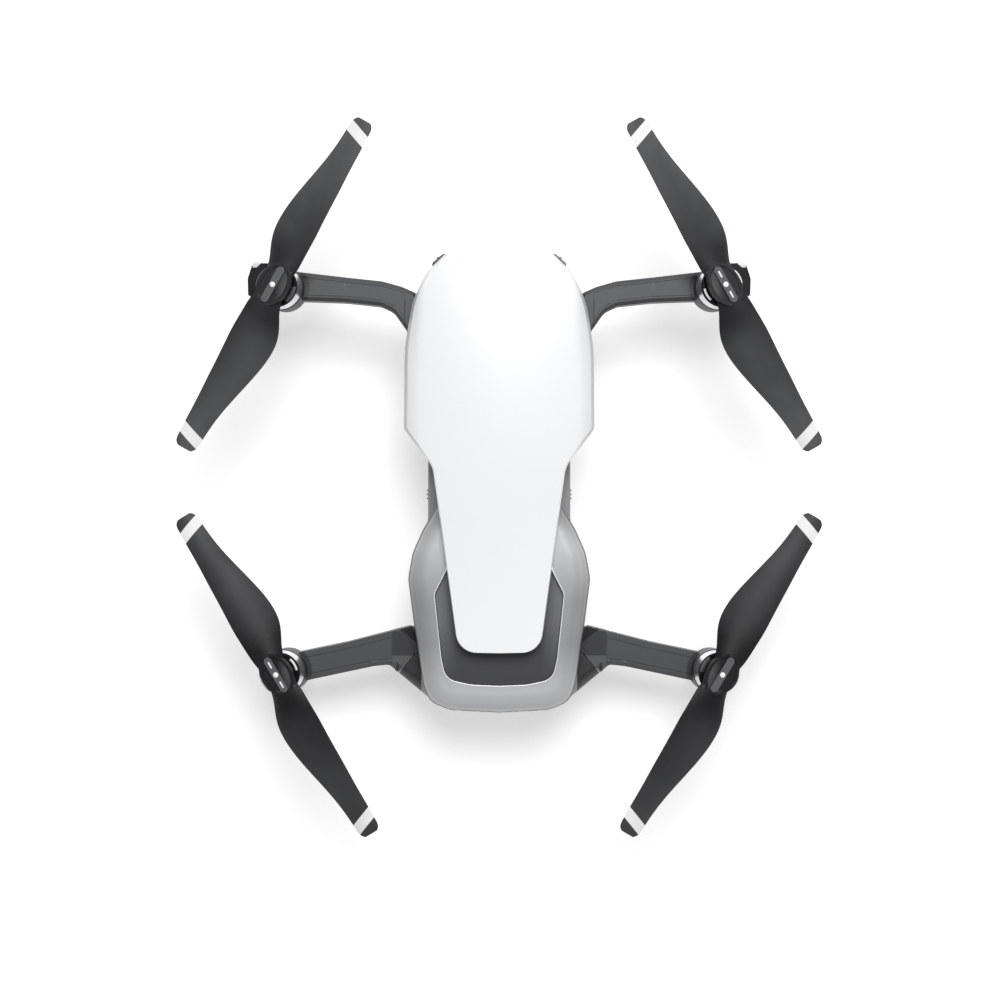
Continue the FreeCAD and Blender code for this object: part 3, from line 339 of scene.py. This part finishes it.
def cowl_material():
    """Satin grey paint, with painted highlights at the back and ahead of the shoulders, and a painted
    shadow along its lower edge.
    """
    g = moulded("cowl_satin", (0.306, 0.310, 0.317), 0.36, 11000.0, 0.00002, 0.02, metallic=0.3, flake=0.12)
    y = g.dot(Y_AXIS)
    # Painted highlights: paler at the back and ahead of the shoulders.
    tone = g.mix(g.rising(y, COWL_BACK_Y), g.tone, (0.55, 0.555, 0.565))
    front = g.both(g.falling(y, COWL_SHOULDER_Y), g.rising(y, COWL_FRONT_Y))
    tone = g.mix(front, tone, (0.53, 0.535, 0.545))
    # Painted shadow: a dark band along the lowest edge of the cowl.
    tone = g.mix(g.falling(g.dot(Z_AXIS), COWL_SHADOW_Z), tone, (0.03, 0.031, 0.034))
    g.set(Base_Color=tone)
    return g.material


def shell_material():
    """White paint with a clear coat, darker at the nose and paler towards the tail as painted light; the
    sides of the wings are greyer as painted shade.
    """
    g = moulded("shell_gloss", (0.845, 0.855, 0.87), 0.34, 14000.0, 0.00001, 0.006, coat=0.2)
    y = g.dot(Y_AXIS)
    # Painted light: darker at the nose, paler towards the tail.
    tone = g.mix(g.span(y, *SHELL_NOSE_Y, 0.6, 0.0), g.tone, (0.78, 0.79, 0.805))
    tone = g.mix(g.rising(y, SHELL_TAIL_Y), tone, (0.90, 0.91, 0.92))
    # Painted shade: the sides of the wings are greyer.
    wing_painted_shade = g.both(g.falling(g.dot(Z_AXIS), WING_Z), g.rising(g.sideways(), WING_X))
    g.set(Base_Color=g.mix(wing_painted_shade, tone, (0.50, 0.505, 0.515)))
    return g.material


def spin_sign(end, side):
    """1 for a propeller that turns clockwise seen from above, -1 for the other way."""
    return 1 if (end == "front") == (side > 0) else -1


def propeller_material(end, side):
    """Black glass-filled nylon: a pale band near each tip, a painted sheen towards the leading edges and
    tips, and a lighter bar and dish on the hub, with the dish's inboard side lightened as a painted
    reflection.
    """
    base, axis, along = motor_frame(end, side)
    across = axis.cross(along)
    # depth scales the blade colours as painted light at the front and painted shade at the rear.
    depth = PROP_PAINTED_LIGHT[end]
    g = Graph("propeller_%s_%s" % (end, side))
    run, width, rise = g.dot(along, base), g.dot(across, base), g.dot(axis, base)
    out, off = g.math("ABSOLUTE", run), g.math("ABSOLUTE", width)
    to_edge = g.both(g.both(width, g.math("SIGN", run)), spin_sign(end, side))

    mottling = g.noise(60.0, 5.0)
    fine = g.noise(7000.0, 2.0)
    black = g.mix(mottling, shade((0.011, 0.0115, 0.0125), depth), shade((0.018, 0.0185, 0.020), depth))
    # Painted sheen: the blades are lightened towards the leading edge and the tip, broken up by the
    # mottling.
    lead = g.both(g.rising(to_edge, LEAD_EDGE), g.rising(out, LEAD_START))
    painted_sheen = g.math("ADD", g.both(lead, 0.4), g.both(g.rising(out, TIP_SHEEN), 0.5))
    painted_sheen = g.both(painted_sheen, g.span(mottling, 0.25, 0.7, 0.7, 1.15))
    sheened_black = g.mix(painted_sheen, black, shade((0.085, 0.087, 0.091), depth))

    # Painted reflection: the inboard side of the hub's dish is lightened.
    dish = g.both(g.rising(rise, DISH_LOW), g.falling(rise, DISH_HIGH))
    dish = g.both(dish, g.falling(out, DISH_END))
    inboard = g.rising(g.dot((-side, 0.0, 0.0), base + axis * HUB_TOP), DISH_INBOARD)
    inboard = g.both(inboard, g.span(off, *DISH_FADE, 0.5, 1.0))
    tone = g.mix(g.both(dish, inboard), sheened_black, (0.088, 0.090, 0.094))
    bar = g.both(g.both(g.rising(rise, HUB_FACE), g.falling(out, BAR_END)), g.falling(off, BAR_SIDE))
    tone = g.mix(bar, tone, (0.105, 0.107, 0.112))
    skewed = g.math("ADD", out, g.both(to_edge, BAND_SKEW))
    band = g.both(g.rising(skewed, BAND_INNER), g.falling(skewed, BAND_OUTER))
    g.set(Base_Color=g.mix(band, tone, (0.82, 0.82, 0.81)), Roughness=g.span(fine, 0.3, 0.7, 0.42, 0.54),
          Specular_IOR_Level=0.2)
    g.bump(fine, 0.4, 0.00003)
    return g.material


def bell_material(end, side):
    """Bright turned ring below, black cap above."""
    base, axis, _ = motor_frame(end, side)
    g = Graph("bell_%s_%s" % (end, side))
    black = g.rising(g.dot(axis, base), CAP_EDGE)
    rings = g.noise(1.0, 2.0, vector=stretched(g, (200, 200, 9000)))
    g.set(Base_Color=g.mix(black, (0.78, 0.79, 0.81), (0.010, 0.010, 0.011)),
          Metallic=g.math("SUBTRACT", 1.0, g.both(black, 0.5)),
          Roughness=g.span(rings, 0.3, 0.7, 0.16, 0.30))
    g.bump(rings, 0.3, 0.00002)
    return g.material


MATERIALS = make_materials()
for arm_end in ENDS:
    MATERIALS["arm_" + arm_end] = arm_material(arm_end)
SPECIAL = {"deck_panel": deck_material(), "rear_cowl": cowl_material(), "top_shell": shell_material(),
           "lower_shell": hull_material()}
SLOT_OF = {part["node"]: part["material_slot"] for part in frame["record"]["subparts"]}


def node_material(name):
    for end in ENDS:
        for word, side in SIDES:
            if name == "%s_%s_propeller" % (end, word):
                return propeller_material(end, side)
            if name == "%s_%s_bell" % (end, word):
                return bell_material(end, side)
        if name.startswith(end) and name.endswith("_arm"):
            return MATERIALS["arm_" + end]
    return SPECIAL.get(name) or MATERIALS[SLOT_OF[name]]


def dress(name):
    """Gives a CAD node its material, smooth shading and softened edges."""
    node = NODES[name]
    node.data.materials.clear()
    node.data.materials.append(node_material(name))
    if "custom_normal" in node.data.attributes:
        node.data.attributes.remove(node.data.attributes["custom_normal"])
    node.data.shade_smooth()
    weld = node.modifiers.new("one_skin", "WELD")
    weld.merge_threshold = WELD_GAP
    if name == "top_shell":
        soften(node, SHELL_BEVEL, SHELL_SEGMENTS)
    else:
        soften(node, EDGE_WIDTH.get(SLOT_OF[name], EDGE_DEFAULT))


def soften(item, width, segments=2):
    """Rounds the sharp edges and keeps the flats flat."""
    edge = item.modifiers.new("soft_edges", "BEVEL")
    edge.width = width
    edge.segments = segments
    edge.limit_method = "ANGLE"
    edge.angle_limit = SHARP_ANGLE
    edge.use_clamp_overlap = True
    normals = item.modifiers.new("flat_faces", "WEIGHTED_NORMAL")
    normals.keep_sharp = True
    normals.weight = 80


# ------------------------------------------------------------------ building pieces
def finish_piece(name, bm, material, body):
    """Turns a bmesh into a named piece that rides on a body and takes its finish from a slot."""
    mesh = bpy.data.meshes.new(name)
    bmesh.ops.recalc_face_normals(bm, faces=bm.faces)
    bm.to_mesh(mesh)
    bm.free()
    mesh.shade_smooth()
    mesh.materials.append(material)
    item = bpy.data.objects.new(name, mesh)
    bpy.context.scene.collection.objects.link(item)
    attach(item, body)


def slice_loops(node, height):
    """The closed outlines of a CAD node at one height, longest first."""
    bm = bmesh.new()
    bm.from_mesh(node.data)
    bmesh.ops.remove_doubles(bm, verts=bm.verts, dist=WELD_GAP)
    geometry = bm.verts[:] + bm.edges[:] + bm.faces[:]
    cut = bmesh.ops.bisect_plane(bm, geom=geometry, dist=1e-7, plane_co=(0, 0, height), plane_no=Z_AXIS)
    near = {}
    for item in cut["geom_cut"]:
        if isinstance(item, bmesh.types.BMEdge):
            first, second = item.verts
            near.setdefault(first, []).append(second)
            near.setdefault(second, []).append(first)
    loops = []
    while near:
        start = next(iter(near))
        chain = [start]
        while True:
            here = chain[-1]
            ahead = [vert for vert in near.pop(here, []) if vert in near]
            if not ahead:
                break
            chain.append(ahead[0])
        loops.append([vert.co.copy() for vert in chain])
    bm.free()
    return sorted(loops, key=loop_length, reverse=True)


def loop_length(points):
    return sum((points[i] - points[i - 1]).length for i in range(len(points)))


def bridge(bm, lower, upper):
    for i in range(len(lower)):
        bm.faces.new((lower[i - 1], lower[i], upper[i], upper[i - 1]))


# ------------------------------------------------------------------ hub and motor markings
def plate(bm, outline, origin, along, across, axis):
    """A thin raised mark: its outline in the hub's own directions, with a slightly smaller top."""
    middle = Vector((sum(p[0] for p in outline), sum(p[1] for p in outline))) / len(outline)
    low, high = [], []
    for u, v in outline:
        low.append(bm.verts.new(origin + along * u + across * v))
        u, v = middle.x + (u - middle.x) * MARK_TAPER, middle.y + (v - middle.y) * MARK_TAPER
        high.append(bm.verts.new(origin + along * u + across * v + axis * MARK_HEIGHT))
    bridge(bm, low, high)
    bm.faces.new(low)
    bm.faces.new(high)


def disc_outline(radius, steps=28):
    return [(radius * cos(2 * pi * i / steps), radius * sin(2 * pi * i / steps)) for i in range(steps)]


def dash_outline(centre, half_length, half_width):
    """A short bar with rounded ends along the blades."""
    out = []
    for end, start in ((1, -pi / 2), (-1, pi / 2)):
        for step in range(7):
            turn = start + pi * step / 6
            out.append((centre + end * (half_length - half_width) + half_width * cos(turn),
                        half_width * sin(turn)))
    return out


def arc_outline(radius, half_width, middle, half_turn, steps=12):
    turns = [middle - half_turn + 2 * half_turn * i / steps for i in range(steps + 1)]
    outer = [((radius + half_width) * cos(t), (radius + half_width) * sin(t)) for t in turns]
    inner = [((radius - half_width) * cos(t), (radius - half_width) * sin(t)) for t in reversed(turns)]
    return outer + inner


def make_rotor_marks(end, word, side):
    """The printed dot on each hub; one diagonal's rotors also carry two dashes and two arcs."""
    base, axis, along = motor_frame(end, side)
    across = axis.cross(along)
    bm = bmesh.new()
    hub = base + axis * (HUB_TOP - MARK_SINK)
    plate(bm, disc_outline(DOT_R), hub, along, across, axis)
    if spin_sign(end, side) < 0:
        for centre in (-DASH_PLACE, DASH_PLACE):
            plate(bm, dash_outline(centre, DASH_HALF, DASH_HALF_WIDTH), hub, along, across, axis)
        bell = base + axis * (BELL_TOP - MARK_SINK)
        for turn, place in ((side, "inboard"), (-side, "outboard")):
            outline = arc_outline(ARC_R[place], ARC_HALF_WIDTH, turn * pi / 2, ARC_HALF_TURN)
            plate(bm, outline, bell, along, across, axis)
    body = "%s_%s_rotor" % (end, word)
    finish_piece("%s_%s_marks" % (end, word), bm, MATERIALS["print_white"], body)


def make_cap_pads(end, word, side):
    """The two C-shaped pads on the caps that carry no white arcs."""
    base, axis, along = motor_frame(end, side)
    across = axis.cross(along)
    bell = base + axis * (BELL_TOP - MARK_SINK)
    bm = bmesh.new()
    for turn in (-1, 1):
        outline = arc_outline(PAD_R, PAD_HALF_WIDTH, turn * pi / 2, PAD_HALF_TURN)
        plate(bm, outline, bell, along, across, axis)
    body = "%s_%s_rotor" % (end, word)
    finish_piece("%s_%s_pads" % (end, word), bm, MATERIALS["cap_pad"], body)


# ------------------------------------------------------------------ small fittings
def bead(name, path, radius, material, body, sides=8):
    """A round bead that follows a path."""
    bm = bmesh.new()
    rings = []
    for i, point in enumerate(path):
        ahead = (path[min(i + 1, len(path) - 1)] - path[max(i - 1, 0)]).normalized()
        level = ahead.cross(Vector((0, 0, 1))).normalized()
        up = level.cross(ahead)
        turns = [2 * pi * j / sides for j in range(sides)]
        rings.append([bm.verts.new(point + (level * cos(t) + up * sin(t)) * radius) for t in turns])
    for lower, upper in zip(rings, rings[1:]):
        bridge(bm, lower, upper)
    bm.faces.new(rings[0])
    bm.faces.new(rings[-1])
    finish_piece(name, bm, material, body)


def make_cowl_highlight_bead():
    """A polished bead round the sunken deck that stands in for the highlight on the cowl's inner edge."""
    deck_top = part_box("deck_panel")[1][2]
    outline = slice_loops(NODES["deck_panel"], deck_top - LIP_SLICE)[0]
    pairs = zip(outline[-1:] + outline[:-1], outline)
    if sum(last.x * point.y - point.x * last.y for last, point in pairs) < 0:
        outline.reverse()
    cowl = bmesh.new()
    cowl.from_mesh(NODES["rear_cowl"].data)
    tree = BVHTree.FromBMesh(cowl)
    path = []
    for i, point in enumerate(outline):
        tangent = outline[(i + 1) % len(outline)] - outline[i - 1]
        outward = Vector((tangent.y, -tangent.x, 0)).normalized()
        place = point + outward * LIP_OFFSET
        hit = tree.ray_cast(Vector((place.x, place.y, LIP_RAY_Z)), Vector((0, 0, -1)))[0]
        if hit is not None and place.y > LIP_START_Y:
            path.append(Vector((place.x, place.y, hit.z - LIP_SINK)))
    cowl.free()
    # The path opens where the lip passes under the shell: its longest step.
    start = max(range(len(path)), key=lambda i: (path[i] - path[i - 1]).length)
    path = path[start:] + path[:start]
    bead("cowl_highlight_bead", path, LIP_RADIUS, MATERIALS["polished"], "airframe")


for node_name in NODES:
    dress(node_name)
make_cowl_highlight_bead()
for motor_end in ENDS:
    for motor_word, motor_side in SIDES:
        make_rotor_marks(motor_end, motor_word, motor_side)
        if spin_sign(motor_end, motor_side) > 0:
            make_cap_pads(motor_end, motor_word, motor_side)


# ------------------------------------------------------------------ floor, lights and camera
def make_floor():
    bpy.ops.mesh.primitive_plane_add(size=FLOOR_SIZE, location=(0, 0, 0))
    floor = bpy.context.object
    floor.name = "floor"
    g = Graph("floor")
    g.set(Base_Color=g.mix(g.noise(3.0, 2.0), (0.79, 0.79, 0.79), (0.81, 0.81, 0.81)), Roughness=0.8,
          Emission_Color=(1.0, 1.0, 1.0, 1.0), Emission_Strength=FLOOR_GLOW)
    floor.data.materials.append(g.material)


def area_light(name, location, size, power):
    """A round light that points at the origin."""
    light = bpy.data.lights.new(name, "AREA")
    light.shape = "DISK"
    light.size = size
    light.energy = power
    item = bpy.data.objects.new(name, light)
    item.location = location
    item.rotation_euler = (-Vector(location)).to_track_quat("-Z", "Y").to_euler()
    bpy.context.scene.collection.objects.link(item)


def make_studio():
    world = bpy.data.worlds.new("studio")
    bpy.context.scene.world = world
    world.use_nodes = True
    background = world.node_tree.nodes["Background"]
    background.inputs["Color"].default_value = (1.0, 1.0, 1.0, 1.0)
    background.inputs["Strength"].default_value = SKY
    for light in LIGHTS:
        area_light(*light)


def make_camera():
    camera = bpy.data.cameras.new("camera")
    camera.lens = CAMERA_LENS
    camera.sensor_width = CAMERA_SENSOR
    camera.shift_x, camera.shift_y = CAMERA_SHIFT
    item = bpy.data.objects.new("camera", camera)
    item.location = (0.0, 0.0, CAMERA_HEIGHT)
    item.rotation_euler = (0.0, 0.0, pi)
    bpy.context.scene.collection.objects.link(item)
    bpy.context.scene.camera = item


make_floor()
make_studio()
make_camera()
bpy.context.scene.view_settings.view_transform = "Standard"
